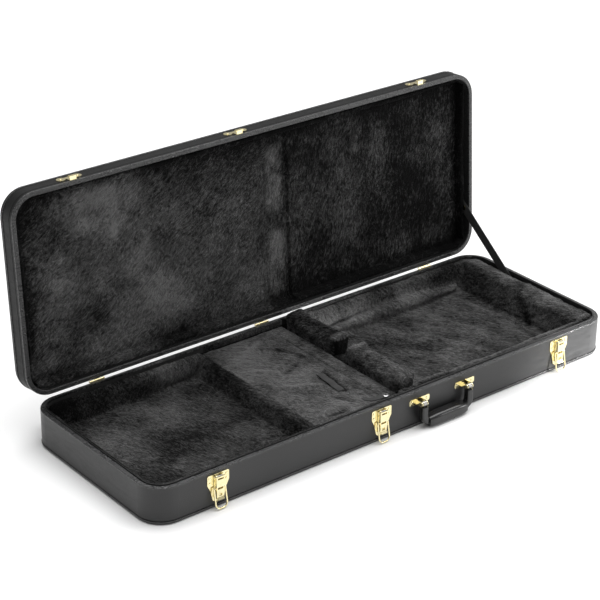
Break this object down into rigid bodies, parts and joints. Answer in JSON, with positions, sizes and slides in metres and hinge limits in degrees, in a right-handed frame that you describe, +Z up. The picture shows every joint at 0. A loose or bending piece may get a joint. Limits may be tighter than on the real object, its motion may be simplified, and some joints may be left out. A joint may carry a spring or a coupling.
{
  "type": "guitar case",
  "caption": "Rectangular hard case with a hinged lid, plush-lined compartments, neck blocks, draw latches, a drop handle and a stay strap, shown open.",
  "frame": {"origin": "centre of the base's underside, on the surface the case stands on", "axes": "+X along the length towards the guitar's body end, -Y the handle and latch side, +Y the hinge side, +Z up"},
  "size_m": [1.0318, 0.4624, 0.4471],
  "materials": {
    "vinyl": "black leather-grain vinyl cloth",
    "vinyl_panel": "plywood panel faced with black leather-grain vinyl",
    "plywood": "bare plywood core",
    "plush_board": "board wrapped in black plush",
    "welt": "stitched black vinyl piping",
    "binding": "black vinyl binding turned over the rim",
    "lip": "black fibreboard lip",
    "plush": "black plush over foam",
    "handle_grip": "moulded black vinyl grip, satin",
    "steel": "bright plated steel",
    "brass": "polished brass plate",
    "webbing": "woven black webbing",
    "ribbon": "black plush-backed ribbon",
    "snap": "nickel snap"
  },
  "bodies": {
    "base": {"accessory_floor_pad": "plush", "accessory_ledge": "plush_board", "base_bottom_panel": "vinyl_panel", "base_lip": "lip", "base_rim_binding": "binding", "base_vinyl_cover": "vinyl", "base_walls": "plywood", "base_welt": "welt", "body_back_pad": "plush", "body_end_pad": "plush", "body_floor_pad": "plush", "body_front_pad": "plush", "handle_mount_left": "brass", "handle_mount_right": "brass", "handle_mount_rivets": "brass", "handle_pins": "steel", "headstock_divider": "plush_board", "headstock_floor_pad": "plush", "headstock_wall_pads": "plush", "hinge_base_leaves": "brass", "hinge_base_rivets": "brass", "hinge_pins": "brass", "latch_lever_pins": "brass", "latch_plate_left": "brass", "latch_plate_middle": "brass", "latch_plate_right": "brass", "latch_rivets": "brass", "neck_block_back": "plush", "neck_block_front": "plush", "neck_cradle": "plush", "neck_divider": "plush_board", "snap_stud": "snap", "stay_strap": "webbing", "strap_rivet_base": "steel"},
    "lid": {"hinge_lid_leaves": "brass", "hinge_lid_rivets": "brass", "keeper_rivets": "brass", "keepers": "brass", "lid_panel": "vinyl_panel", "lid_panel_pad": "plush", "lid_rim_binding": "binding", "lid_vinyl_cover": "vinyl", "lid_wall_pads": "plush", "lid_walls": "plywood", "lid_welt": "welt", "strap_rivet_lid": "steel"},
    "accessory_lid": {"accessory_lid_board": "plush_board", "snap_tab": "ribbon", "snap_cap": "snap", "pull_ribbon": "ribbon"},
    "handle": {"handle_grip": "handle_grip", "handle_core": "steel"},
    "latch_lever_left": {"latch_lever_left": "brass"},
    "latch_bail_left": {"latch_bail_left": "brass"},
    "latch_lever_middle": {"latch_lever_middle": "brass"},
    "latch_bail_middle": {"latch_bail_middle": "brass"},
    "latch_lever_right": {"latch_lever_right": "brass"},
    "latch_bail_right": {"latch_bail_right": "brass"}
  },
  "joints": [
    {"name": "lid_hinge", "type": "hinge", "parent": "base", "child": "lid", "pos_m": [0, 0.1869, 0.0692], "axis": [-1, 0, 0], "range_deg": [-94, 0], "deforming": ["stay_strap"]},
    {"name": "accessory_lid_hinge", "type": "hinge", "parent": "base", "child": "accessory_lid", "pos_m": [-0.157, 0, 0.0555], "axis": [0, -1, 0], "range_deg": [0, 95]},
    {"name": "handle_swing", "type": "hinge", "parent": "base", "child": "handle", "pos_m": [0.0967, -0.1975, 0.0485], "axis": [-1, 0, 0], "range_deg": [0, 170]},
    {"name": "latch_lever_left_hinge", "type": "hinge", "parent": "base", "child": "latch_lever_left", "pos_m": [-0.39, -0.1892, 0.0593], "axis": [1, 0, 0], "range_deg": [-100, 0]},
    {"name": "latch_bail_left_hinge", "type": "hinge", "parent": "latch_lever_left", "child": "latch_bail_left", "pos_m": [-0.39, -0.1895, 0.0385], "axis": [-1, 0, 0], "range_deg": [0, 172]},
    {"name": "latch_lever_middle_hinge", "type": "hinge", "parent": "base", "child": "latch_lever_middle", "pos_m": [-0.043, -0.1892, 0.0593], "axis": [1, 0, 0], "range_deg": [-100, 0]},
    {"name": "latch_bail_middle_hinge", "type": "hinge", "parent": "latch_lever_middle", "child": "latch_bail_middle", "pos_m": [-0.043, -0.1895, 0.0385], "axis": [-1, 0, 0], "range_deg": [0, 172]},
    {"name": "latch_lever_right_hinge", "type": "hinge", "parent": "base", "child": "latch_lever_right", "pos_m": [0.384, -0.1892, 0.0593], "axis": [1, 0, 0], "range_deg": [-100, 0]},
    {"name": "latch_bail_right_hinge", "type": "hinge", "parent": "latch_lever_right", "child": "latch_bail_right", "pos_m": [0.384, -0.1895, 0.0385], "axis": [-1, 0, 0], "range_deg": [0, 172]}
  ]
}
